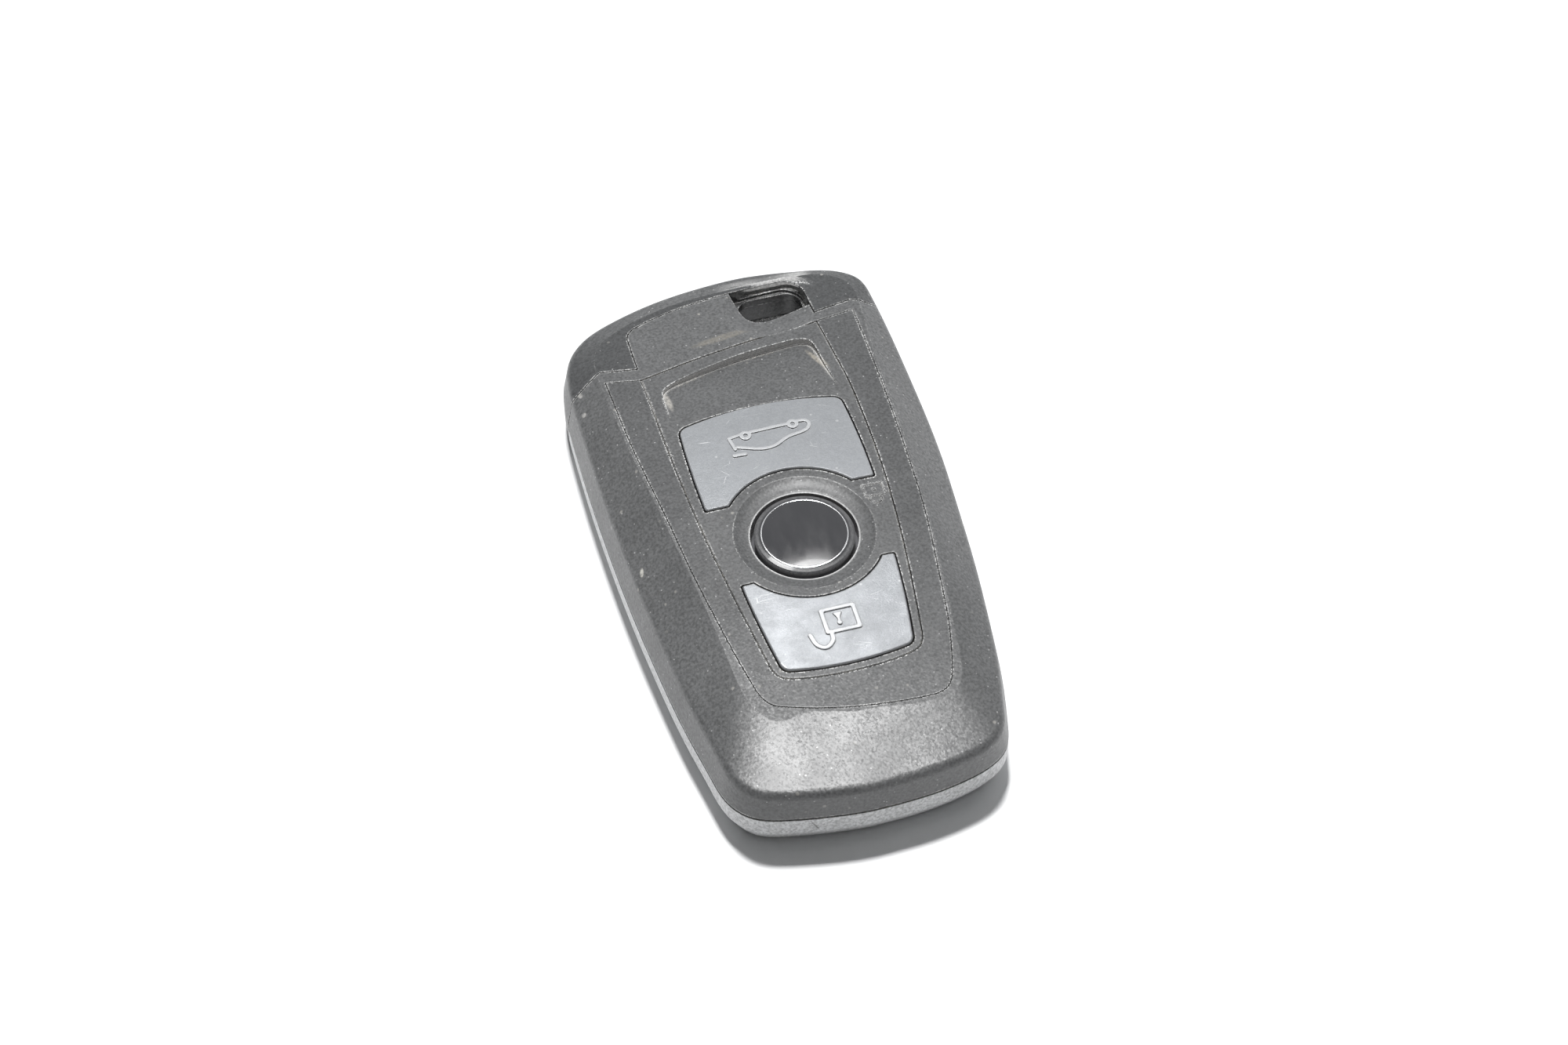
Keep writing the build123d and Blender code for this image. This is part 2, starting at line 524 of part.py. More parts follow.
with BuildPart() as shell_gasket:
    with BuildSketch(Plane.XY.offset(Z_REAR)):
        add(inner_face(inset(WALL_PLAN, 0.45), 27.0))
        add(inner_face(inset(WALL_PLAN, 1.45), 28.0), mode=Mode.SUBTRACT)
    extrude(amount=Z_FRONT - Z_REAR)
shell_gasket.part.label = "shell_gasket"
export_step(shell_gasket.part, "parts/shell_gasket.step")

with BuildPart() as release_button:
    with BuildSketch(Plane.XY.offset(0.15)):
        with Locations(at((RELEASE_X, RELEASE_Y))):
            SlotOverall(11.0, 5.5)
    extrude(amount=2.6)
    chamfer(release_button.faces().sort_by(Axis.Z)[0].edges(), 0.35)
    with BuildSketch(Plane.XY.offset(0.15)):
        with Locations(*[at((RELEASE_X + d, RELEASE_Y)) for d in (-2.4, -1.2, 0, 1.2, 2.4)]):
            SlotOverall(3.2, 0.5, rotation=90)
    extrude(amount=0.25, mode=Mode.SUBTRACT)
    with BuildSketch(Plane.XY.offset(2.7)):
        with Locations(at((RELEASE_X, RELEASE_Y))):
            SlotOverall(12.2, 6.7)
    extrude(amount=0.55)
    with BuildSketch(Plane.XY.offset(3.2)):
        with Locations(at((RELEASE_X, RELEASE_Y))):
            RectangleRounded(5.0, 2.6, 0.6)
    extrude(amount=0.9)
release_button.part.label = "release_button"
export_step(release_button.part, "parts/release_button.step")

# ---------------------------------------------------------------------------
# Battery cover, its seal and the coin cell
# ---------------------------------------------------------------------------
with BuildPart() as battery_cover:
    with BuildSketch():
        add(inner_face(inset(WALL_PLAN, COVER_IN + 0.12), 20.88))
    extrude(amount=COVER_T)
    fillet(battery_cover.edges().filter_by(Axis.Z), 0.8)
    chamfer(battery_cover.faces().sort_by(Axis.Z)[0].edges(), 0.2)
    # groove for the seal, coin notch and cross rib marks
    with BuildSketch(Plane.XY.offset(COVER_T - 0.35)):
        with Locations(at((CELL_X, CELL_Y))):
            Circle(CELL_R + 0.95)
            Circle(CELL_R + 0.35, mode=Mode.SUBTRACT)
    extrude(amount=1.0, mode=Mode.SUBTRACT)
    with BuildSketch():
        with Locations(at((0.0, -31.0))):
            SlotOverall(7.0, 1.6)
    extrude(amount=0.7, mode=Mode.SUBTRACT)
    # stepped pad under the cell, and the lugs
    with BuildSketch(Plane.XY.offset(COVER_T)):
        with Locations(at((CELL_X, CELL_Y))):
            Circle(CELL_R - 0.3)
    extrude(amount=CELL_Z - COVER_T)
    with BuildSketch(Plane.XY.offset(COVER_T)):
        with Locations(*[at(p) for p in LUGS]):
            RectangleRounded(3.1, 1.1, 0.25)
    extrude(amount=1.5)
battery_cover.part.label = "battery_cover"
export_step(battery_cover.part, "parts/battery_cover.step")

with BuildPart() as cover_seal:
    with BuildSketch(Plane.XY.offset(COVER_T - 0.33)):
        with Locations(at((CELL_X, CELL_Y))):
            Circle(CELL_R + 0.93)
            Circle(CELL_R + 0.37, mode=Mode.SUBTRACT)
    extrude(amount=0.36)
cover_seal.part.label = "cover_seal"
export_step(cover_seal.part, "parts/cover_seal.step")

with BuildPart() as battery_can:
    with BuildSketch(Plane.XY.offset(CELL_Z)):
        with Locations(at((CELL_X, CELL_Y))):
            Circle(CELL_R)
    extrude(amount=4.6)
    fillet(battery_can.faces().sort_by(Axis.Z)[0].edges(), 0.4)
    with BuildSketch(Plane.XY.offset(CELL_Z + 3.6)):
        with Locations(at((CELL_X, CELL_Y))):
            Circle(CELL_R - 0.3)
    extrude(amount=2, mode=Mode.SUBTRACT)
battery_can.part.label = "battery_can"
export_step(battery_can.part, "parts/battery_can.step")

with BuildPart() as battery_gasket:
    with BuildSketch(Plane.XY.offset(CELL_Z + 3.6)):
        with Locations(at((CELL_X, CELL_Y))):
            Circle(CELL_R - 0.3)
            Circle(CELL_R - 0.8, mode=Mode.SUBTRACT)
    extrude(amount=1.05)
battery_gasket.part.label = "battery_gasket"
export_step(battery_gasket.part, "parts/battery_gasket.step")

with BuildPart() as battery_cap:
    with BuildSketch(Plane.XY.offset(CELL_Z + 3.6)):
        with Locations(at((CELL_X, CELL_Y))):
            Circle(CELL_R - 0.8)
    extrude(amount=CELL_H - 3.6)
    fillet(battery_cap.faces().sort_by(Axis.Z)[-1].edges(), 0.3)
battery_cap.part.label = "battery_cap"
export_step(battery_cap.part, "parts/battery_cap.step")

# ---------------------------------------------------------------------------
# Circuit board and what it carries
# ---------------------------------------------------------------------------
with BuildPart() as circuit_board:
    with BuildSketch(Plane.XY.offset(PCB_Z)):
        add(inner_face(inset(SHOULDER_PLAN, 2.1), 22.4))
        with Locations(at((-5.0, -29.0)), at((10.5, 20.0)), at((-12.0, 20.0))):
            Circle(0.7, mode=Mode.SUBTRACT)
    extrude(amount=PCB_T)
circuit_board.part.label = "circuit_board"
export_step(circuit_board.part, "parts/circuit_board.step")

with BuildPart() as tact_switches:
    with BuildSketch(Plane.XY.offset(PCB_Z + PCB_T)):
        with Locations(at((0, 13)), at((0, 0)), at((0, -12.5))):
            RectangleRounded(4.5, 4.5, 0.4)
    extrude(amount=0.42)
    with BuildSketch(Plane.XY.offset(PCB_Z + PCB_T + 0.42)):
        with Locations(at((0, 13)), at((0, 0)), at((0, -12.5))):
            Circle(1.2)
    extrude(amount=0.2)
tact_switches.part.label = "tact_switches"
export_step(tact_switches.part, "parts/tact_switches.step")

with BuildPart() as antenna_core:
    with BuildSketch(Plane.XY.offset(PCB_Z - 2.9)):
        with Locations(at((2.0, -24.3))):
            RectangleRounded(8.4, 6.0, 0.5)
    extrude(amount=0.6)
    with BuildSketch(Plane.XY.offset(PCB_Z - 2.3)):
        with Locations(at((2.0, -24.3))):
            RectangleRounded(5.0, 3.0, 0.8)
    extrude(amount=1.7)
    with BuildSketch(Plane.XY.offset(PCB_Z - 0.6)):
        with Locations(at((2.0, -24.3))):
            RectangleRounded(8.4, 6.0, 0.5)
    extrude(amount=0.6)
antenna_core.part.label = "antenna_core"
export_step(antenna_core.part, "parts/antenna_core.step")

with BuildPart() as antenna_winding:
    with BuildSketch(Plane.XY.offset(PCB_Z - 2.25)):
        with Locations(at((2.0, -24.3))):
            RectangleRounded(7.6, 5.4, 1.9)
            RectangleRounded(5.1, 3.1, 0.85, mode=Mode.SUBTRACT)
    extrude(amount=1.6)
antenna_winding.part.label = "antenna_winding"
export_step(antenna_winding.part, "parts/antenna_winding.step")

with BuildPart() as micro_chip:
    with BuildSketch(Plane.XY.offset(PCB_Z - 1.0)):
        with Locations(at((3.5, 14.5))):
            Rectangle(7.0, 7.0)
    extrude(amount=1.0)
    chamfer(micro_chip.faces().sort_by(Axis.Z)[0].edges(), 0.15)
micro_chip.part.label = "micro_chip"
export_step(micro_chip.part, "parts/micro_chip.step")

with BuildPart() as radio_chip:
    with BuildSketch(Plane.XY.offset(PCB_Z - 0.9)):
        with Locations(at((11.5, 12.0))):
            Rectangle(5.0, 5.0)
    extrude(amount=0.9)
    chamfer(radio_chip.faces().sort_by(Axis.Z)[0].edges(), 0.12)
radio_chip.part.label = "radio_chip"
export_step(radio_chip.part, "parts/radio_chip.step")

with BuildPart() as crystal_can:
    with BuildSketch(Plane.XY.offset(PCB_Z - 0.9)):
        with Locations(at((-3.8, 12.5))):
            RectangleRounded(3.2, 2.5, 0.3)
    extrude(amount=0.9)
crystal_can.part.label = "crystal_can"
export_step(crystal_can.part, "parts/crystal_can.step")

with BuildPart() as chip_capacitors:
    with BuildSketch(Plane.XY.offset(PCB_Z - 0.55)):
        with Locations(*[at(p) for p in ((-4.6, 16.6), (-2.6, 16.6), (9.6, 16.4), (11.6, 16.4), (13.6, 16.4), (-3.6, -22.0),
                                         (-3.6, -24.0), (9.0, -22.2), (-5.0, 9.4), (7.6, 9.6))]):
            Rectangle(1.25, 0.8)
    extrude(amount=0.55)
chip_capacitors.part.label = "chip_capacitors"
export_step(chip_capacitors.part, "parts/chip_capacitors.step")

with BuildPart() as contact_negative:
    with BuildSketch(Plane.XY.offset(PCB_Z - 0.2)):
        with Locations(at((CELL_X, CELL_Y))):
            Rectangle(11.0, 2.6)
            Rectangle(2.6, 11.0)
    extrude(amount=0.2)
    with BuildSketch(Plane.XY.offset(CELL_Z + CELL_H + 0.05)):
        with Locations(at((CELL_X, CELL_Y))):
            Circle(1.3)
    extrude(amount=PCB_Z - CELL_Z - CELL_H - 0.05)
contact_negative.part.label = "contact_negative"
export_step(contact_negative.part, "parts/contact_negative.step")

with BuildPart() as contact_positive:
    with BuildSketch(Plane.XY.offset(2.8)):
        with Locations(at((CELL_X, CELL_Y + CELL_R + 0.17))):
            Rectangle(4.0, 0.22)
    extrude(amount=PCB_Z - 2.8)
    with BuildSketch(Plane.XY.offset(PCB_Z - 0.22)):
        with Locations(at((CELL_X, CELL_Y + CELL_R + 0.8))):
            Rectangle(4.0, 1.4)
    extrude(amount=0.22)
contact_positive.part.label = "contact_positive"
export_step(contact_positive.part, "parts/contact_positive.step")

# ---------------------------------------------------------------------------
# Key mat: rubber sheet under the buttons, held against the deck
# ---------------------------------------------------------------------------
with BuildPart() as key_mat:
    with BuildSketch(Plane.XY.offset(9.35)):
        add(window_face(-0.7))
    extrude(amount=0.3)
    with BuildSketch(Plane.XY.offset(9.65)):
        add(window_face(-0.7))
        add(window_face(-0.05), mode=Mode.SUBTRACT)
    extrude(amount=Z_DECK - 9.65)
key_mat.part.label = "key_mat"
export_step(key_mat.part, "parts/key_mat.step")

# ---------------------------------------------------------------------------
# Trim and keypad frame, flush with the crowned front face
# ---------------------------------------------------------------------------
with BuildPart() as trim_insert:
    with BuildSketch(Plane.XY.offset(Z_LEDGE)):
        add(trim_face(GROOVE))
        add(frame_face(), mode=Mode.SUBTRACT)
    extrude(amount=4)
    add(crown(0), mode=Mode.INTERSECT)
trim_insert.part.label = "trim_insert"
export_step(trim_insert.part, "parts/trim_insert.step")

tilt = CROWN_Y / CROWN_R      # slope of the front face at the middle button
with BuildPart() as dish_tool:
    with BuildSketch(Plane(origin=(DX, DY, crown_z(0, 0)), x_dir=(1, 0, 0), z_dir=(0, -1, -tilt))):
        with BuildLine():
            Polyline((0, -0.84), (R_RECESS + 0.12, -0.84), (R_RECESS + 0.3, -0.74))
            ThreePointArc((R_RECESS + 0.3, -0.74), (R_RECESS + 1.3, -0.5), (R_DISH - 0.1, -0.12))
            Polyline((R_DISH - 0.1, -0.12), (R_DISH + 0.1, 0.08), (R_DISH + 0.1, 1.0), (0, 1.0), (0, -0.84))
        make_face()
    revolve(axis=Axis((DX, DY, crown_z(0, 0)), (0, -tilt, 1)), revolution_arc=360)
with BuildPart() as dip_tool:
    with BuildSketch(Plane.XY.offset(9)):
        with BuildLine():
            Spline(*[at(p) for p in DIP_EDGE])
            Line(at(DIP_EDGE[-1]), at(DIP_EDGE[0]))
        make_face()
    extrude(amount=6)
    deep, shallow = crown_z(0, 29.5) - 0.95, crown_z(0, 20.6) - 0.12
    split(bisect_by=Plane(origin=at((0, 29.5)) + (deep,), x_dir=(1, 0, 0), z_dir=(0, (shallow - deep) / 8.9, 1)), keep=Keep.TOP)
with BuildPart() as lock_relief:
    # small moulded closed padlock beside the middle button
    with BuildSketch(Plane.XY.offset(12.6)):
        with Locations(at((9.6, 4.0))):
            RectangleRounded(2.6, 1.95, 0.2)
            RectangleRounded(2.2, 1.55, 0.12, mode=Mode.SUBTRACT)
            Circle(0.24)
        with Locations(at((9.45, 2.75))):
            Circle(0.85)
            Circle(0.62, mode=Mode.SUBTRACT)
            with Locations((0, 1.0)):
                Rectangle(1.2, 1.5, mode=Mode.SUBTRACT)
        with Locations(at((9.6, 4.0))):
            RectangleRounded(2.6, 1.95, 0.2)
            RectangleRounded(2.2, 1.55, 0.12, mode=Mode.SUBTRACT)
            Circle(0.24)
    extrude(amount=2)
    add(crown(-0.09), mode=Mode.INTERSECT)
with BuildPart() as keypad_frame:
    with BuildSketch(Plane.XY.offset(Z_LEDGE + 0.05)):
        add(frame_face(GROOVE))
    extrude(amount=4)
    with BuildSketch(Plane.XY.offset(Z_DECK + 0.05)):
        add(deep_face(0.15))
    extrude(amount=Z_LEDGE - Z_DECK + 0.5)
    add(crown(0), mode=Mode.INTERSECT)
    chamfer(keypad_frame.faces().sort_by(Axis.Z)[-1].edges(), EDGE)
    with BuildSketch(Plane.XY.offset(Z_LEDGE - 1)):
        add(far_button_face(0.2))
    extrude(amount=5, mode=Mode.SUBTRACT)
    with BuildSketch(Plane.XY.offset(Z_LEDGE - 1)):
        add(near_button_face(0.2))
    extrude(amount=5, mode=Mode.SUBTRACT)
    with BuildSketch(Plane.XY.offset(Z_LEDGE - 1)):
        with Locations(at((0, 0))):
            Circle(R_RECESS)
    extrude(amount=5, mode=Mode.SUBTRACT)
    add(dish_tool.part, mode=Mode.SUBTRACT)
    add(dip_tool.part, mode=Mode.SUBTRACT)
    add(lock_relief.part)
keypad_frame.part.label = "keypad_frame"
export_step(keypad_frame.part, "parts/keypad_frame.step")

# ---------------------------------------------------------------------------
# Front buttons
# ---------------------------------------------------------------------------
with BuildPart() as boot_relief:
    # car with its boot lid up, upside down to a reader at the near end
    with BuildSketch(Plane.XY.offset(12.6)):
        add(ribbon([(-2.1, 16.35), (2.6, 16.45)], 0.42))
        add(ribbon([(3.7, 16.6), (4.75, 16.5), (5.1, 15.85), (4.45, 14.95), (2.1, 14.4), (0.35, 13.5), (-1.4, 13.4), (-4.1, 14.4)], 0.42))
        add(ribbon([(-3.2, 16.3), (-4.75, 16.05)], 0.4, 1))
        add(ribbon([(-4.75, 16.05), (-4.45, 14.15)], 0.4, 1))
        add(ribbon([(-4.8, 13.2), (-3.45, 13.1)], 0.45, 1))
        with Locations(at((-2.7, 16.0)), at((3.2, 16.3))):
            Circle(0.72)
        with Locations(at((-2.7, 16.0)), at((3.2, 16.3))):
            Circle(0.27, mode=Mode.SUBTRACT)
    extrude(amount=2)
    add(crown(-PROUD - RELIEF), mode=Mode.INTERSECT)
with BuildPart() as trunk_button:
    with BuildSketch(Plane.XY.offset(BTN_Z)):
        add(far_button_face())
    extrude(amount=4)
    add(crown(-PROUD), mode=Mode.INTERSECT)
    chamfer(trunk_button.faces().sort_by(Axis.Z)[-1].edges(), EDGE)
    with BuildSketch(Plane.XY.offset(BTN_Z)):
        add(far_button_face(0.45))
        add(window_face(0.2), mode=Mode.INTERSECT)
    extrude(amount=0.38)
    with BuildSketch(Plane.XY.offset(BTN_FOOT)):
        with Locations(at((0, 13))):
            Circle(1.7)
    extrude(amount=BTN_Z - BTN_FOOT)
    add(boot_relief.part)
trunk_button.part.label = "trunk_button"
export_step(trunk_button.part, "parts/trunk_button.step")

with BuildPart() as open_relief:
    # open padlock
    with BuildSketch(Plane.XY.offset(12.4)):
        with Locations(at((0.45, -13.1))):
            RectangleRounded(4.3, 3.5, 0.3)
            RectangleRounded(3.3, 2.55, 0.15, mode=Mode.SUBTRACT)
        with BuildLine():
            Polyline(at((-0.25, -12.2)), at((0.85, -12.2)), at((0.45, -12.95)), at((0.4, -13.5)), at((0.1, -13.5)), at((0.1, -12.95)),
                     close=True)
        make_face()
        with Locations(at((0.25, -13.6))):
            Circle(0.3)
        add(ribbon([(-1.05, -14.6), (-1.15, -15.7), (-2.1, -16.45), (-3.1, -15.9), (-3.5, -14.45)], 0.5))
    extrude(amount=2)
    add(crown(-PROUD - RELIEF), mode=Mode.INTERSECT)
with BuildPart() as unlock_button:
    with BuildSketch(Plane.XY.offset(BTN_Z)):
        add(near_button_face())
    extrude(amount=4)
    add(crown(-PROUD), mode=Mode.INTERSECT)
    chamfer(unlock_button.faces().sort_by(Axis.Z)[-1].edges(), EDGE)
    with BuildSketch(Plane.XY.offset(BTN_Z)):
        add(near_button_face(0.45))
        add(window_face(0.2), mode=Mode.INTERSECT)
    extrude(amount=0.38)
    with BuildSketch(Plane.XY.offset(BTN_FOOT)):
        with Locations(at((0, -12.5))):
            Circle(1.7)
    extrude(amount=BTN_Z - BTN_FOOT)
    add(open_relief.part)
unlock_button.part.label = "unlock_button"
export_step(unlock_button.part, "parts/unlock_button.step")

with BuildPart() as lock_button:
    with BuildSketch(Plane.XZ.offset(-DY)):
        with BuildLine():
            Polyline((DX, BTN_FOOT), (DX + 1.7, BTN_FOOT), (DX + 1.7, BTN_Z), (DX + 6.9, BTN_Z), (DX + 6.9, BTN_Z + 0.38),
                     (DX + 5.7, BTN_Z + 0.38), (DX + 5.7, 12.2), (DX, 12.2), close=True)
        make_face()
    revolve(axis=Axis((DX, DY, 0), (0, 0, 1)), revolution_arc=360)
lock_button.part.label = "lock_button"
export_step(lock_button.part, "parts/lock_button.step")

with BuildPart() as lock_lens:
    with BuildSketch(Plane.XZ.offset(-DY)):
        with BuildLine():
            Polyline((DX, 13.22), (DX, 12.2), (DX + R_DISC - 0.25, 12.2), (DX + R_DISC, 12.4), (DX + R_DISC, 12.66),
                     (DX + R_DISC - 0.22, 12.86), (DX + R_RING, 12.95), (DX + R_RING, 12.6), (DX + R_RING - 0.2, 12.6),
                     (DX + R_RING - 0.2, 12.97))
            TangentArc((DX, 13.22), (DX + R_RING - 0.2, 12.97), tangent=(1, 0))
        make_face()
    revolve(axis=Axis((DX, DY, 0), (0, 0, 1)), revolution_arc=360)
lock_lens.part.label = "lock_lens"
export_step(lock_lens.part, "parts/lock_lens.step")

with BuildPart() as lens_ring:
    with BuildSketch(Plane.XZ.offset(-DY)):
        with BuildLine():
            Polyline((DX + R_RING - 0.01, 12.61), (DX + R_RING - 0.01, 12.96), (DX + R_RING - 0.05, 13.0), (DX + R_RING - 0.15, 13.01),
                     (DX + R_RING - 0.19, 12.98), (DX + R_RING - 0.19, 12.61), close=True)
        make_face()
    revolve(axis=Axis((DX, DY, 0), (0, 0, 1)), revolution_arc=360)
lens_ring.part.label = "lens_ring"
export_step(lens_ring.part, "parts/lens_ring.step")
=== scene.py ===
import math

import bpy
import bmesh
from mathutils import Matrix, Vector

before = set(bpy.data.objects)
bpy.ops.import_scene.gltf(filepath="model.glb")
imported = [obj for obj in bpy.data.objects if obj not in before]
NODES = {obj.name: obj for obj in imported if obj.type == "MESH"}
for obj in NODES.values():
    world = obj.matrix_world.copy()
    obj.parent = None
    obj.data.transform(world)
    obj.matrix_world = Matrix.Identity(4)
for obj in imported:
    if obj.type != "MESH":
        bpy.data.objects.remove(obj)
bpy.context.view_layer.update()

MM = 0.001


# ---------------------------------------------------------------------------
# Camera at the photograph's viewing angle
# ---------------------------------------------------------------------------
def look():
    az, el, roll = math.radians(16.054), math.radians(50.608), math.radians(0.260)
    target = Vector((-1.654, -3.857, 13.4)) * MM
    dist = 364.077 * MM
    fwd = Vector((math.sin(az) * math.cos(el), math.cos(az) * math.cos(el), -math.sin(el)))
    right = fwd.cross(Vector((0, 0, 1))).normalized()
    up = right.cross(fwd)
    r2 = right * math.cos(roll) + up * math.sin(roll)
    u2 = up * math.cos(roll) - right * math.sin(roll)
    cam = bpy.data.objects.new("camera", bpy.data.cameras.new("camera"))
    bpy.context.scene.collection.objects.link(cam)
    m = Matrix((r2, u2, -fwd)).transposed().to_4x4()
    m.translation = target - fwd * dist
    cam.matrix_world = m
    cam.data.sensor_fit = "HORIZONTAL"
    cam.data.sensor_width = 36.0
    cam.data.lens = 72.0
    cam.data.clip_start = 0.01
    cam.data.clip_end = 20.0
    bpy.context.scene.camera = cam


look()


# ---------------------------------------------------------------------------
# Small helpers for node-based materials. Texture space is the piece's own
# space in metres, so grain keeps its real size everywhere.
# ---------------------------------------------------------------------------
class Mat:
    def __init__(self, name):
        self.m = bpy.data.materials.new(name)
        self.m.use_nodes = True
        self.nt = self.m.node_tree
        self.b = self.nt.nodes["Principled BSDF"]
        self.co = self.nt.nodes.new("ShaderNodeTexCoord").outputs["Object"]

    def new(self, kind, **props):
        n = self.nt.nodes.new(kind)
        for k, v in props.items():
            setattr(n, k, v)
        return n

    def link(self, a, b):
        self.nt.links.new(a, b)

    def put(self, socket, v):
        if hasattr(v, "is_output"):
            self.link(v, socket)
        else:
            socket.default_value = v

    def space(self, scale=(1, 1, 1), rot=(0, 0, 0), loc=(0, 0, 0), src=None):
        n = self.new("ShaderNodeMapping")
        n.inputs["Scale"].default_value = scale
        n.inputs["Rotation"].default_value = rot
        n.inputs["Location"].default_value = loc
        self.link(src or self.co, n.inputs["Vector"])
        return n.outputs[0]

    def noise(self, size_mm, detail=2.0, rough=0.5, vec=None, distort=0.0):
        n = self.new("ShaderNodeTexNoise")
        n.inputs["Scale"].default_value = 1000.0 / size_mm
        n.inputs["Detail"].default_value = detail
        n.inputs["Roughness"].default_value = rough
        n.inputs["Distortion"].default_value = distort
        self.link(vec or self.co, n.inputs["Vector"])
        return n.outputs["Fac"]

    def cells(self, size_mm, feature="F1", vec=None, rand=1.0, out="Distance"):
        n = self.new("ShaderNodeTexVoronoi", feature=feature)
        n.inputs["Scale"].default_value = 1000.0 / size_mm
        n.inputs["Randomness"].default_value = rand
        self.link(vec or self.co, n.inputs["Vector"])
        return n.outputs[out]

    def ramp(self, v, lo, hi, a=0.0, b=1.0, smooth=False):
        n = self.new("ShaderNodeMapRange", clamp=True, interpolation_type="SMOOTHSTEP" if smooth else "LINEAR")
        for k, x in (("From Min", lo), ("From Max", hi), ("To Min", a), ("To Max", b)):
            n.inputs[k].default_value = x
        self.link(v, n.inputs["Value"])
        return n.outputs[0]

    def math(self, op, a, b=0.0, clamp=False):
        n = self.new("ShaderNodeMath", operation=op, use_clamp=clamp)
        self.put(n.inputs[0], a)
        self.put(n.inputs[1], b)
        return n.outputs[0]

    def mix(self, f, a, b, kind="MIX"):
        n = self.new("ShaderNodeMix", data_type="RGBA", blend_type=kind)
        self.put(n.inputs["Factor"], f)
        for k, v in (("A", a), ("B", b)):
            s = [x for x in n.inputs if x.name == k and x.type == "RGBA"][0]
            if hasattr(v, "is_output"):
                self.link(v, s)
            else:
                s.default_value = (*v, 1.0)
        return [x for x in n.outputs if x.type == "RGBA"][0]

    def bump(self, h, strength, dist_mm, normal=None):
        n = self.new("ShaderNodeBump")
        n.inputs["Strength"].default_value = strength
        n.inputs["Distance"].default_value = dist_mm * MM
        self.link(h, n.inputs["Height"])
        if normal is not None:
            self.link(normal, n.inputs["Normal"])
        return n.outputs[0]

    def rounded(self, radius_mm, samples=6):
        n = self.new("ShaderNodeBevel", samples=samples)
        n.inputs["Radius"].default_value = radius_mm * MM
        return n.outputs[0]

    def edge(self, radius_mm, start=0.998, full=0.88):
        """1 along edges, 0 on open faces."""
        g = self.new("ShaderNodeNewGeometry")
        d = self.new("ShaderNodeVectorMath", operation="DOT_PRODUCT")
        self.link(self.rounded(radius_mm, 8), d.inputs[0])
        self.link(g.outputs["Normal"], d.inputs[1])
        return self.ramp(d.outputs["Value"], start, full, 0.0, 1.0)

    def axes(self):
        s = self.new("ShaderNodeSeparateXYZ")
        self.link(self.co, s.inputs[0])
        return s.outputs[0], s.outputs[1], s.outputs[2]

    def done(self, color, rough, normal=None, metal=None):
        self.put(self.b.inputs["Base Color"], color if hasattr(color, "is_output") else (*color, 1.0))
        self.put(self.b.inputs["Roughness"], rough)
        if metal is not None:
            self.put(self.b.inputs["Metallic"], metal)
        if normal is not None:
            self.link(normal, self.b.inputs["Normal"])
        return self.m


def blob(M, at, half, turn=(0, 0, 0)):
    """Soft ellipsoid mask: centre and half sizes in mm, turn in degrees."""
    n = M.new("ShaderNodeMapping", vector_type="TEXTURE")
    n.inputs["Location"].default_value = [v * MM for v in at]
    n.inputs["Rotation"].default_value = [math.radians(v) for v in turn]
    n.inputs["Scale"].default_value = [v * MM for v in half]
    M.link(M.co, n.inputs["Vector"])
    d = M.new("ShaderNodeVectorMath", operation="LENGTH")
    M.link(n.outputs[0], d.inputs[0])
    return M.ramp(d.outputs["Value"], 1.0, 0.45, 0.0, 1.0, smooth=True)


def hollow(M, reach_mm, lo, hi):
    """1 in tight inner corners and seams, 0 on open faces."""
    n = M.new("ShaderNodeAmbientOcclusion", samples=6)
    n.inputs["Distance"].default_value = reach_mm * MM
    return M.ramp(n.outputs["AO"], hi, lo, 0.0, 1.0)


def spots(M, size_mm, keep, where=None):
    """Small random dots: one candidate per cell, only a share of them kept."""
    n = M.new("ShaderNodeTexVoronoi", feature="F1")
    n.inputs["Scale"].default_value = 1000.0 / size_mm
    M.link(where or M.co, n.inputs["Vector"])
    c = M.new("ShaderNodeSeparateColor")
    M.link(n.outputs["Color"], c.inputs[0])
    pick = M.math("GREATER_THAN", c.outputs[0], 1.0 - keep)
    return M.math("MULTIPLY", pick, M.ramp(n.outputs["Distance"], 0.38, 0.22), clamp=True)


def scale_color(M, tone, t):
    n = M.new("ShaderNodeVectorMath", operation="SCALE")
    n.inputs[0].default_value = tone
    M.link(t, n.inputs["Scale"])
    return n.outputs["Vector"]


def off_axis(M):
    """Distance in metres from the round button's axis."""
    x, y, z = M.axes()
    q = M.new("ShaderNodeCombineXYZ")
    M.link(M.math("SUBTRACT", x, 0.0003), q.inputs[0])
    M.link(M.math("ADD", y, 0.0057), q.inputs[1])
    n = M.new("ShaderNodeVectorMath", operation="LENGTH")
    M.link(q.outputs[0], n.inputs[0])
    return n.outputs["Value"]


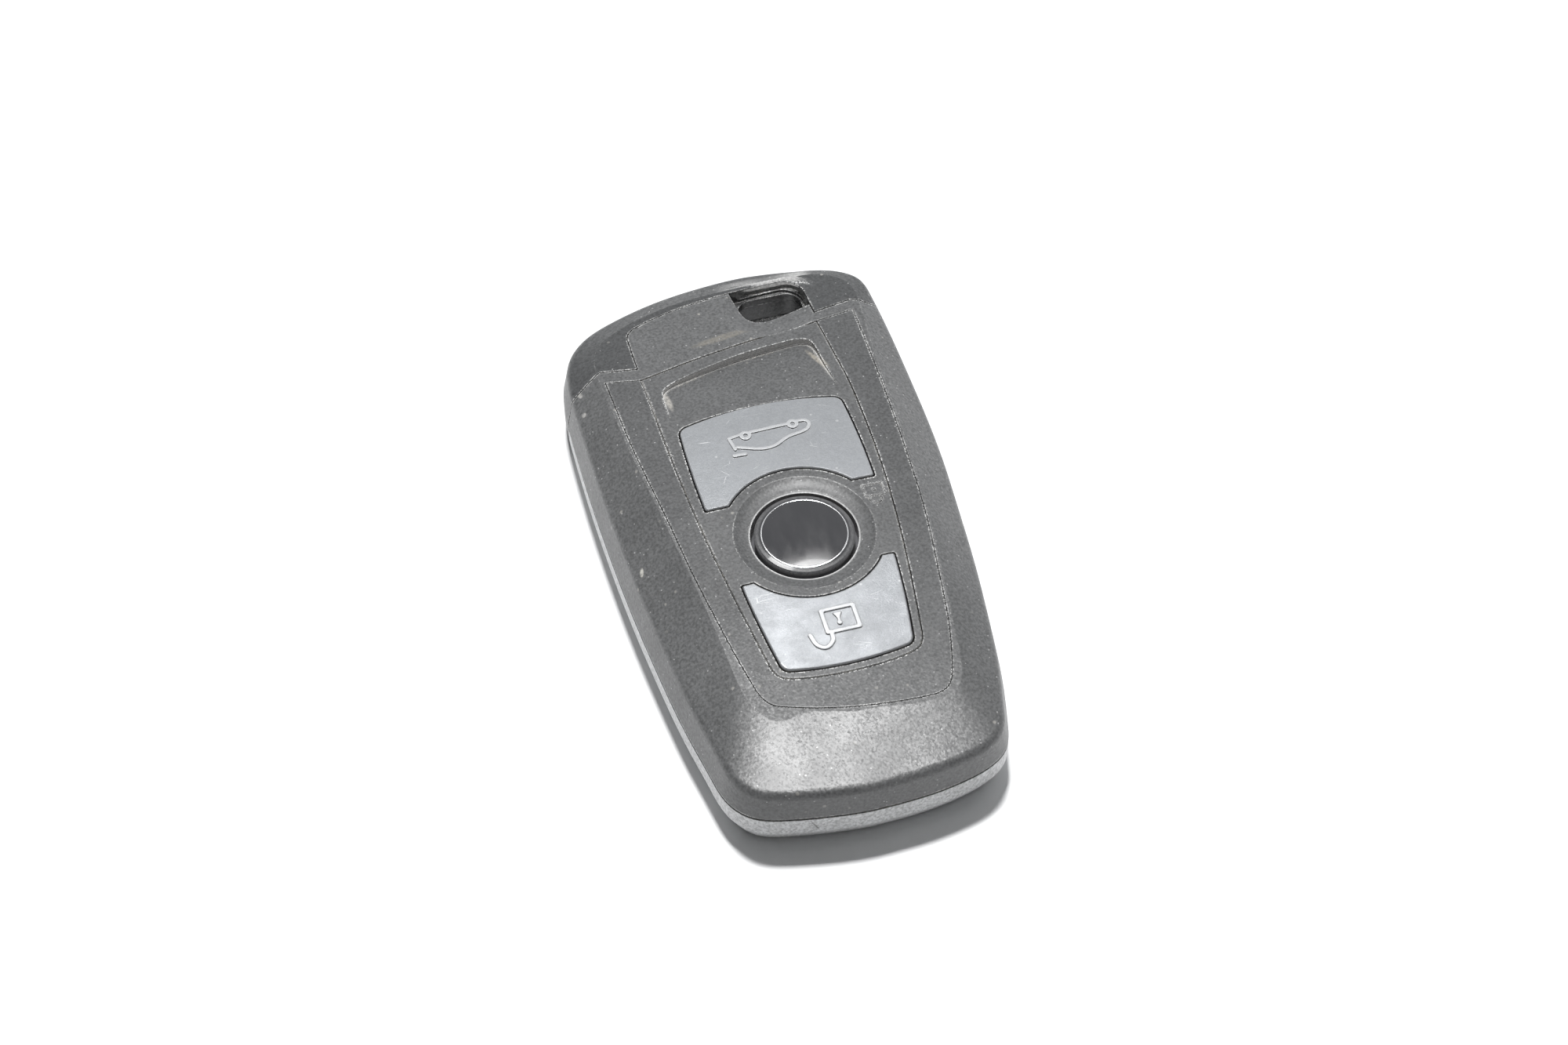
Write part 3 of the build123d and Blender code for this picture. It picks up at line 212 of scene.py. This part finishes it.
def frame_extras(M, col):
    """Painted light: the finger dip's far wall and the floor at its foot, which lie in shade, are lightened (with a
    little dust), and the shaded gap round the disc is painted mid grey.
    """
    x, y, z = M.axes()
    g = M.new("ShaderNodeNewGeometry")
    s = M.new("ShaderNodeSeparateXYZ")
    M.link(g.outputs["Normal"], s.inputs[0])
    # painted light: the dip's far wall, which faces away from the key light and sits in shade, is lightened to pale
    # grey (a little of it is dust)
    wall = M.math("MULTIPLY", M.math("LESS_THAN", s.outputs[1], -0.30), M.math("GREATER_THAN", y, 0.0165))
    wall = M.math("MULTIPLY", wall, M.ramp(z, 0.0090, 0.0098))
    patch_noise = M.ramp(M.noise(0.24, 3.0, 0.75), 0.40, 0.60, 0.60, 1.0)
    col = M.mix(M.math("MULTIPLY", wall, patch_noise), col, (0.80, 0.79, 0.77))
    # painted light: the floor at the foot of that wall, where its shadow falls, is lightened
    foot = M.math("MULTIPLY", hollow(M, 0.55, 0.40, 0.85), M.math("MULTIPLY", M.ramp(y, 0.0165, 0.0175), M.ramp(z, 0.0098, 0.0102)))
    col = M.mix(M.math("MULTIPLY", foot, patch_noise, clamp=True), col, (0.58, 0.57, 0.55))
    # painted light: the shaded gap round the disc is lightened to mid grey
    gap = M.math("MULTIPLY", M.ramp(off_axis(M), 0.0066, 0.0064), M.ramp(z, 0.0131, 0.0134, 0.7, 0.0))
    return M.mix(gap, col, (0.50, 0.50, 0.50))


def head_extras(M, col):
    """The rounded lip over the key-ring eye is rubbed pale by the ring, and lightened also as a painted highlight on
    the sloped lip.
    """
    x, y, z = M.axes()
    g = M.new("ShaderNodeNewGeometry")
    s = M.new("ShaderNodeSeparateXYZ")
    M.link(g.outputs["Normal"], s.inputs[0])
    # painted highlight, partly rubbing by the ring: the sloped lip over the eye is lightened
    lip = M.math("MULTIPLY", M.ramp(s.outputs[2], 0.95, 0.88), M.ramp(s.outputs[2], 0.06, 0.18))
    lip = M.math("MULTIPLY", lip, M.math("MULTIPLY", M.ramp(y, 0.0325, 0.0335), M.ramp(y, 0.0384, 0.0378)))
    lip = M.math("MULTIPLY", lip, M.math("MULTIPLY", M.ramp(x, 0.0008, 0.0036), M.ramp(x, 0.0136, 0.0118)))
    lip = M.math("MULTIPLY", lip, M.ramp(z, 0.0088, 0.0089))
    return M.mix(M.math("MULTIPLY", lip, M.ramp(M.noise(0.30, 3.0, 0.7), 0.36, 0.60, 0.45, 1.0)), col, (0.46, 0.46, 0.45))


def facets(M, normal, size_mm, k):
    """Blasted grain: each small cell leans its own way, which is what makes it sparkle."""
    w = M.noise(0.2, 1.0)
    v = M.new("ShaderNodeTexVoronoi", feature="F1")
    v.inputs["Scale"].default_value = 1000.0 / size_mm
    M.link(M.co, v.inputs["Vector"])
    a = M.new("ShaderNodeVectorMath", operation="SUBTRACT")
    M.link(v.outputs["Color"], a.inputs[0])
    a.inputs[1].default_value = (0.5, 0.5, 0.5)
    b = M.new("ShaderNodeVectorMath", operation="SCALE")
    M.link(a.outputs["Vector"], b.inputs[0])
    M.link(M.ramp(w, 0.3, 0.7, 0.6 * k, 1.4 * k), b.inputs["Scale"])
    c = M.new("ShaderNodeVectorMath", operation="ADD")
    M.link(b.outputs["Vector"], c.inputs[0])
    M.link(normal, c.inputs[1])
    d = M.new("ShaderNodeVectorMath", operation="NORMALIZE")
    M.link(c.outputs["Vector"], d.inputs[0])
    return d.outputs["Vector"]


def case_plastic(name, tone, grain_mm=0.34, depth=0.018, rough=0.40, facet=0.11, edge_mm=0.20, rub_and_highlight_mm=0.36, spark=1.0, rub_and_highlight=1.0, dusty=1.0, marks=(), extra=None):
    """Moulded plastic with a bead-blasted grain, painted glints on a few grains, rubbed edges that are also lightened
    as a painted highlight, painted shade in narrow seams, and a little dust.
    """
    M = Mat(name)
    a = M.noise(grain_mm, 2.0, 0.6)
    b = M.cells(grain_mm * 0.9, "SMOOTH_F1")
    c = M.noise(grain_mm * 6, 2.0)
    h = M.math("ADD", M.math("MULTIPLY", a, 0.8), M.math("MULTIPLY", b, 0.8))
    h = M.math("ADD", h, M.math("MULTIPLY", c, 0.25))
    n = facets(M, M.bump(h, 1.0, depth, M.rounded(edge_mm, 8)), 0.26, facet)
    t = M.math("MULTIPLY", M.ramp(M.noise(11.0, 3.0), 0.3, 0.7, 0.90, 1.10), M.ramp(a, 0.34, 0.64, 0.62, 1.32))
    col = scale_color(M, tone, t)
    # painted glints: a few grains are given a bright colour and lower roughness, standing in for the grain's sparkle
    sp = spots(M, 0.30, 0.020 * spark)
    col = M.mix(M.math("MULTIPLY", sp, 0.45), col, (0.50, 0.50, 0.50))
    # dust in the corners, pale and a little tan
    near = hollow(M, 0.9, 0.45, 0.80)
    dust = M.math("MULTIPLY", near, M.ramp(M.noise(0.30, 3.0, 0.75), 0.46, 0.58), clamp=True)
    dust = M.math("MULTIPLY", dust, M.ramp(M.noise(6.0, 2.0), 0.36, 0.56, 0.15, 1.0), clamp=True)
    col = M.mix(M.math("MULTIPLY", dust, 0.60 * dusty, clamp=True), col, (0.46, 0.43, 0.37))
    # rubbed edges, lightened also as a painted highlight along the edges, broken up by the grain into bright specks
    e = M.edge(rub_and_highlight_mm)
    rubbed_and_highlit = M.math("MULTIPLY", e, M.ramp(M.noise(0.24, 2.0, 0.75), 0.47, 0.58), clamp=True)
    rubbed_and_highlit = M.math("MULTIPLY", rubbed_and_highlit, M.ramp(M.noise(5.0, 2.0), 0.34, 0.60, 0.30, 1.0))
    col = M.mix(M.math("MULTIPLY", rubbed_and_highlit, 0.85 * rub_and_highlight, clamp=True), col, (0.66, 0.66, 0.65))
    # painted shade: near-black darkening only in narrow seams, by occlusion
    crevice_shade = hollow(M, 0.22, 0.12, 0.40)
    col = M.mix(M.math("MULTIPLY", crevice_shade, 0.7), col, (0.012, 0.012, 0.012))
    lint = M.math("MULTIPLY", spots(M, 0.7, 0.018), M.ramp(M.noise(9.0, 2.0), 0.46, 0.56), clamp=True)
    col = M.mix(M.math("MULTIPLY", lint, 0.32), col, (0.46, 0.44, 0.40))
    ro = M.ramp(M.noise(6.0, 3.0), 0.3, 0.7, rough - 0.03, rough + 0.05)
    ro = M.math("SUBTRACT", ro, M.math("MULTIPLY", sp, 0.12))
    ro = M.math("ADD", ro, M.math("MULTIPLY", dust, 0.3))
    if extra is not None:
        col = extra(M, col)
    for at, half, turn, k, tint in marks:
        m = M.math("MULTIPLY", blob(M, at, half, turn), M.ramp(M.noise(0.40, 2.0, 0.7), 0.36, 0.54, 0.35, 1.0), clamp=True)
        col = M.mix(M.math("MULTIPLY", m, k), col, tint)
        ro = M.math("ADD", ro, M.math("MULTIPLY", m, 0.2))
    return M.done(col, ro, n)


def silver(name):
    """Satin silver lacquer on the push buttons: fine flake, a few hairlines, raised symbols and rims rubbed bright and
    lightened as a painted highlight, with painted shade round the symbols and along the gap.
    """
    M = Mat(name)
    fl = M.cells(0.09, "F1", out="Color")
    sp = M.new("ShaderNodeSeparateColor")
    M.link(fl, sp.inputs[0])
    flake = sp.outputs[0]
    tone = M.math("MULTIPLY", M.ramp(M.noise(5.0, 4.0, 0.6), 0.3, 0.7, 0.96, 1.04), M.ramp(flake, 0.0, 1.0, 0.90, 1.10))
    tone = M.math("MULTIPLY", tone, M.ramp(M.noise(0.45, 3.0, 0.7), 0.3, 0.7, 0.93, 1.07))
    col = scale_color(M, (0.275, 0.286, 0.300), tone)
    lines = None
    for k, (ang, wide) in enumerate(((0.25, 7.0), (-0.7, 5.0))):
        v = M.space(scale=(1.0 / wide, 1.0, 1.0), rot=(0, 0, ang), loc=(0.013 * k, 0.007, 0))
        q = M.ramp(M.cells(1.7, "DISTANCE_TO_EDGE", vec=v), 0.006, 0.0)
        q = M.math("MULTIPLY", q, M.ramp(M.noise(2.0 + k, 2.0), 0.58, 0.66), clamp=True)
        lines = q if lines is None else M.math("MAXIMUM", lines, q)
    cut = blob(M, (-7.34, 10.68, 13.1), (0.85, 0.07, 0.6), (0, 0, -9))
    lines = M.math("MAXIMUM", lines, cut)
    col = M.mix(M.math("MULTIPLY", lines, 0.6), col, (0.88, 0.89, 0.90))
    dots = M.math("MULTIPLY", spots(M, 0.55, 0.02), M.ramp(M.noise(5.0, 2.0), 0.44, 0.56), clamp=True)
    col = M.mix(M.math("MULTIPLY", dots, 0.4), col, (0.85, 0.85, 0.85))
    h = M.math("ADD", M.math("MULTIPLY", M.noise(0.22, 2.0, 0.6), 1.0), M.math("MULTIPLY", M.noise(0.9, 2.0), 0.5))
    n = M.bump(h, 1.0, 0.014, M.rounded(0.20, 8))
    # painted shade: darkening round the raised symbols and along the gap, by occlusion
    crevice_shade = hollow(M, 0.45, 0.40, 0.90)
    col = M.mix(M.math("MULTIPLY", crevice_shade, 0.45), col, (0.10, 0.10, 0.105))
    # the raised symbols: everything above the button's own crowned face is rubbed bright, and lightened also as a
    # painted highlight on their rounded tops
    v = M.new("ShaderNodeVectorMath", operation="DISTANCE")
    M.link(M.co, v.inputs[0])
    v.inputs[1].default_value = (0.0003, -0.0017, -0.2316)
    top = M.ramp(v.outputs["Value"], 0.24519, 0.24525, 0.0, 1.0)
    col = M.mix(M.math("MULTIPLY", top, 0.60), col, (0.60, 0.61, 0.62))
    # rims rubbed bright, and lightened also as a painted highlight along the edges
    rubbed_and_highlit = M.math("MULTIPLY", M.edge(0.22), M.ramp(M.noise(0.6, 3.0, 0.7), 0.40, 0.52, 0.35, 1.0), clamp=True)
    col = M.mix(M.math("MULTIPLY", rubbed_and_highlit, 0.7), col, (0.88, 0.89, 0.90))
    ro = M.ramp(M.noise(2.2, 3.0, 0.6), 0.3, 0.7, 0.33, 0.43)
    return M.done(col, ro, n, metal=M.ramp(flake, 0.0, 1.0, 0.56, 0.68))


def lens(name):
    """Piano-black domed lens: a clear skin over black, with dust specks and faint wipe marks."""
    M = Mat(name)
    smear = M.ramp(M.noise(2.4, 4.0, 0.6, vec=M.space(scale=(1, 0.35, 1), rot=(0, 0, 0.5))), 0.45, 0.75)
    specks = M.ramp(M.cells(0.8, "F1"), 0.05, 0.025)
    specks = M.math("MULTIPLY", specks, M.ramp(M.noise(3.0, 2.0), 0.48, 0.6), clamp=True)
    col = M.mix(M.math("MULTIPLY", smear, 0.10), (0.012, 0.012, 0.014), (0.06, 0.06, 0.062))
    col = M.mix(M.math("MULTIPLY", specks, 0.5), col, (0.45, 0.43, 0.40))
    # the skirt outside the ring is duller and a little grey with handling
    skirt = M.ramp(off_axis(M), 0.00525, 0.00545)
    col = M.mix(M.math("MULTIPLY", skirt, M.ramp(M.noise(0.25, 3.0, 0.7), 0.35, 0.65, 0.30, 0.9)), col, (0.080, 0.080, 0.082))
    ro = M.math("ADD", M.ramp(smear, 0.0, 1.0, 0.10, 0.20), M.math("MULTIPLY", specks, 0.4))
    ro = M.math("ADD", ro, M.math("MULTIPLY", skirt, 0.16))
    M.b.inputs["Coat Weight"].default_value = 0.6
    M.b.inputs["Coat Roughness"].default_value = 0.04
    n = M.bump(M.noise(2.5, 2.0), 0.25, 0.01, M.rounded(0.10))
    return M.done(col, ro, n)


def metal(name, color, rough, size_mm=0.5, stretch=(1, 1, 1), depth=0.004, edge_mm=0.06):
    """Bright metal with fine marks along one direction."""
    M = Mat(name)
    r = M.rounded(edge_mm)
    v = M.space(scale=stretch)
    g = M.noise(size_mm, 3.0, 0.6, vec=v)
    t = M.math("MULTIPLY", M.ramp(g, 0.3, 0.7, 0.86, 1.08), M.ramp(M.noise(5.0, 3.0), 0.3, 0.7, 0.92, 1.06))
    col = M.new("ShaderNodeVectorMath", operation="SCALE")
    col.inputs[0].default_value = color
    M.link(t, col.inputs["Scale"])
    ro = M.ramp(M.noise(1.8, 3.0), 0.3, 0.7, rough - 0.05, rough + 0.08)
    M.b.inputs["Metallic"].default_value = 1.0
    return M.done(col.outputs["Vector"], ro, M.bump(g, 0.8, depth, r))


def soft_matt(name, tone, rough=0.6, grain_mm=0.35, depth=0.006, edge_mm=0.08, spec=0.4):
    """Matt moulded rubber, plastic or ceramic, with light unevenness."""
    M = Mat(name)
    a = M.noise(grain_mm, 3.0, 0.6)
    t = M.math("MULTIPLY", M.ramp(a, 0.3, 0.7, 0.88, 1.1), M.ramp(M.noise(6.0, 3.0), 0.3, 0.7, 0.9, 1.1))
    col = M.new("ShaderNodeVectorMath", operation="SCALE")
    col.inputs[0].default_value = tone
    M.link(t, col.inputs["Scale"])
    ro = M.ramp(M.noise(2.5, 3.0), 0.3, 0.7, rough - 0.06, rough + 0.08)
    M.b.inputs["Specular IOR Level"].default_value = spec
    return M.done(col.outputs["Vector"], ro, M.bump(a, 1.0, depth, M.rounded(edge_mm)))


def board(name):
    """Solder-resist green with copper tracks showing through and tinned pads."""
    M = Mat(name)
    br = M.new("ShaderNodeTexBrick")
    br.offset = 0.37
    br.inputs["Scale"].default_value = 1.0
    br.inputs["Brick Width"].default_value = 5.2 * MM
    br.inputs["Row Height"].default_value = 1.3 * MM
    br.inputs["Mortar Size"].default_value = 0.16 * MM
    M.link(M.co, br.inputs["Vector"])
    tracks = br.outputs["Fac"]
    pads = M.ramp(M.cells(3.1, "F1", rand=0.8), 0.16, 0.13)
    col = M.mix(tracks, (0.012, 0.105, 0.045), (0.035, 0.20, 0.085))
    col = M.mix(pads, col, (0.62, 0.55, 0.36))
    col = M.mix(M.ramp(M.noise(4.0, 3.0), 0.35, 0.75, 0.0, 0.25), col, (0.01, 0.07, 0.03))
    ro = M.ramp(pads, 0.0, 1.0, 0.32, 0.22)
    h = M.math("ADD", tracks, pads)
    return M.done(col, ro, M.bump(h, 0.6, 0.02, M.rounded(0.08)), metal=pads)


MATS = {
    "shell": case_plastic("case_plastic", (0.063, 0.064, 0.065), marks=(
        ((-18.81, -3.89, 9.89), (0.30, 0.75, 0.6), (0, 0, -14), 0.75, (0.50, 0.49, 0.44)),
        ((-19.26, 24.82, 9.84), (0.35, 0.60, 0.6), (0, 0, 20), 0.55, (0.42, 0.41, 0.39)),
        ((-19.53, 21.69, 9.75), (0.40, 0.45, 0.6), (0, 0, 0), 0.55, (0.42, 0.41, 0.39)),
        ((-0.6, 27.9, 11.8), (5.0, 0.7, 1.6), (0, 0, 8.7), 0.16, (0.36, 0.31, 0.22)),
        ((-13.4, -3.2, 12.4), (1.6, 0.10, 0.8), (0, 0, -35), 0.35, (0.36, 0.36, 0.36)),
    )),
    "head": case_plastic("head_plastic", (0.029, 0.030, 0.031), rub_and_highlight=1.2, extra=head_extras),
    "trim": case_plastic("trim_plastic", (0.048, 0.049, 0.050), grain_mm=0.32, depth=0.014, facet=0.09, rub_and_highlight=1.35),
    "frame": case_plastic("frame_plastic", (0.054, 0.055, 0.056), grain_mm=0.32, depth=0.014, rough=0.46, facet=0.07, rub_and_highlight=1.45, dusty=1.25, extra=frame_extras, marks=(
        ((-9.6, 18.8, 11.3), (0.55, 2.7, 1.6), (0, 0, 3), 0.60, (0.40, 0.38, 0.34)),
        ((9.8, 21.0, 11.5), (0.45, 3.3, 1.6), (0, 0, 21), 0.40, (0.40, 0.36, 0.29)),
    )),
    "silver": silver("silver_lacquer"),
    "lens": lens("gloss_black_lens"),
    "ring": metal("polished_ring", (0.86, 0.86, 0.87), 0.16, 0.3),
    "inner": soft_matt("inner_plastic", (0.050, 0.050, 0.054), 0.45, 0.4),
    "rear": case_plastic("rear_plastic", (0.50, 0.505, 0.51), facet=0.06, marks=(
        ((-8.10, -39.22, 4.0), (1.35, 0.6, 0.16), (0, 62, 0), 0.85, (0.10, 0.095, 0.09)),
    )),
    "cover": case_plastic("cover_plastic", (0.054, 0.055, 0.056), grain_mm=0.45, depth=0.03, facet=0.2),
    "rubber": soft_matt("black_rubber", (0.030, 0.030, 0.031), 0.75, 0.5, 0.01, spec=0.25),
    "cell": metal("cell_steel", (0.70, 0.70, 0.71), 0.30, 0.4, (1, 1, 1), 0.003),
    "board": board("circuit_board_green"),
    "tin": metal("tinned_sheet", (0.72, 0.72, 0.70), 0.34, 0.3),
    "ferrite": soft_matt("ferrite", (0.055, 0.054, 0.056), 0.5, 0.3, spec=0.5),
    "copper": metal("enamelled_copper", (0.72, 0.33, 0.14), 0.32, 0.12, (0.2, 0.2, 6.0), 0.02),
    "chip": soft_matt("epoxy_black", (0.028, 0.028, 0.030), 0.5, 0.12, 0.004),
    "ceramic": soft_matt("ceramic_tan", (0.42, 0.31, 0.19), 0.45, 0.2),
    "spring": metal("gold_plated_spring", (0.80, 0.68, 0.42), 0.28, 0.3),
    "blade": metal("ground_steel", (0.63, 0.63, 0.64), 0.28, 0.18, (1, 0.06, 1), 0.006),
}
WEARS = {
    "front_shell": "shell", "rear_shell": "rear", "key_head": "head", "trim_insert": "trim", "keypad_frame": "frame",
    "trunk_button": "silver", "unlock_button": "silver", "lock_button": "inner", "lock_lens": "lens", "lens_ring": "ring",
    "key_mat": "rubber", "shell_gasket": "rubber", "cover_seal": "rubber", "release_button": "inner", "battery_cover": "cover",
    "battery_can": "cell", "battery_cap": "cell", "battery_gasket": "inner", "circuit_board": "board", "tact_switches": "tin",
    "antenna_core": "ferrite", "antenna_winding": "copper", "micro_chip": "chip", "radio_chip": "chip", "crystal_can": "tin",
    "chip_capacitors": "ceramic", "contact_negative": "spring", "contact_positive": "spring", "key_blade": "blade", "blade_pin": "blade",
}
for node, key in WEARS.items():
    o = NODES[node]
    o.data.materials.clear()
    o.data.materials.append(MATS[key])


# ---------------------------------------------------------------------------
# Table and light: not part of the object
# ---------------------------------------------------------------------------
def table():
    me = bpy.data.meshes.new("table_top")
    bm = bmesh.new()
    bmesh.ops.create_grid(bm, x_segments=2, y_segments=2, size=1.5)
    bm.to_mesh(me)
    bm.free()
    o = bpy.data.objects.new("table_top", me)
    bpy.context.scene.collection.objects.link(o)
    M = Mat("table_white")
    v = M.ramp(M.noise(60.0, 3.0), 0.3, 0.7, 0.985, 1.0)
    c = M.new("ShaderNodeVectorMath", operation="SCALE")
    c.inputs[0].default_value = (0.86, 0.865, 0.87)
    M.link(v, c.inputs["Scale"])
    o.data.materials.append(M.done(c.outputs["Vector"], M.ramp(M.noise(20.0, 2.0), 0.3, 0.7, 0.45, 0.55)))


table()


def area(name, at, aim, size, power, color=(1, 1, 1)):
    d = bpy.data.lights.new(name, "AREA")
    d.shape = "RECTANGLE"
    d.size, d.size_y = size
    d.energy = power
    d.color = color
    o = bpy.data.objects.new(name, d)
    bpy.context.scene.collection.objects.link(o)
    o.location = at
    o.rotation_euler = (Vector(aim) - Vector(at)).to_track_quat("-Z", "Y").to_euler()
    return o


def only_on(light, names):
    """Let a light fall on these pieces alone."""
    c = bpy.data.collections.new(light.name + "_lit")
    for n in names:
        c.objects.link(NODES[n])
    light.light_linking.receiver_collection = c


key = area("soft_key", (0.045, 0.34, 1.0), (0, 0, 0), (0.12, 0.09), 17.0)
key.visible_glossy = False
panel = area("soft_panel", (-0.02, -0.03, 1.0), (0, 0, 0), (0.46, 0.22), 19.5)
panel.visible_diffuse = False
sheen = area("far_panel", (0.02, 0.44, 1.0), (0, 0, 0), (0.54, 0.16), 3.9)
sheen.visible_diffuse = False
# the metal lacquer takes its sheen from the far panel, the moulded plastic from the near one
BUTTONS = ["trunk_button", "unlock_button"]
only_on(panel, [n for n in WEARS if n not in BUTTONS + ["lock_lens"]])
only_on(sheen, BUTTONS + ["lock_lens", "lens_ring"])
world = bpy.data.worlds.new("studio")
bpy.context.scene.world = world
world.use_nodes = True
wt = world.node_tree
bg = wt.nodes["Background"]
bg.inputs["Color"].default_value = (0.96, 0.98, 1.0, 1.0)
way = wt.nodes.new("ShaderNodeVectorMath")
way.operation = "DOT_PRODUCT"
way.inputs[1].default_value = (0.48, 0.88, 0.0)
sky = wt.nodes.new("ShaderNodeTexCoord").outputs["Generated"]
wt.links.new(sky, way.inputs[0])


def span(v, lo, hi, a, b):
    n = wt.nodes.new("ShaderNodeMapRange")
    for k, x in (("From Min", lo), ("From Max", hi), ("To Min", a), ("To Max", b)):
        n.inputs[k].default_value = x
    wt.links.new(v, n.inputs["Value"])
    return n.outputs[0]


def both(kind, a, b):
    n = wt.nodes.new("ShaderNodeMath")
    n.operation = kind
    wt.links.new(a, n.inputs[0])
    wt.links.new(b, n.inputs[1])
    return n.outputs[0]


# bright towards the far side, dim near the viewer's side, with a low glow along its horizon
parts = wt.nodes.new("ShaderNodeSeparateXYZ")
wt.links.new(sky, parts.inputs[0])
glow = both("MULTIPLY", span(parts.outputs[2], 0.12, 0.42, 0.26, 0.0), span(way.outputs["Value"], -0.5, 0.0, 1.0, 0.0))
wt.links.new(both("ADD", span(way.outputs["Value"], -0.24, 0.62, 0.02, 0.47), glow), bg.inputs["Strength"])
bpy.context.scene.view_settings.view_transform = "Standard"
bpy.context.scene.view_settings.look = "None"
bpy.context.scene.view_settings.exposure = 0.0
bpy.context.scene.view_settings.gamma = 1.2
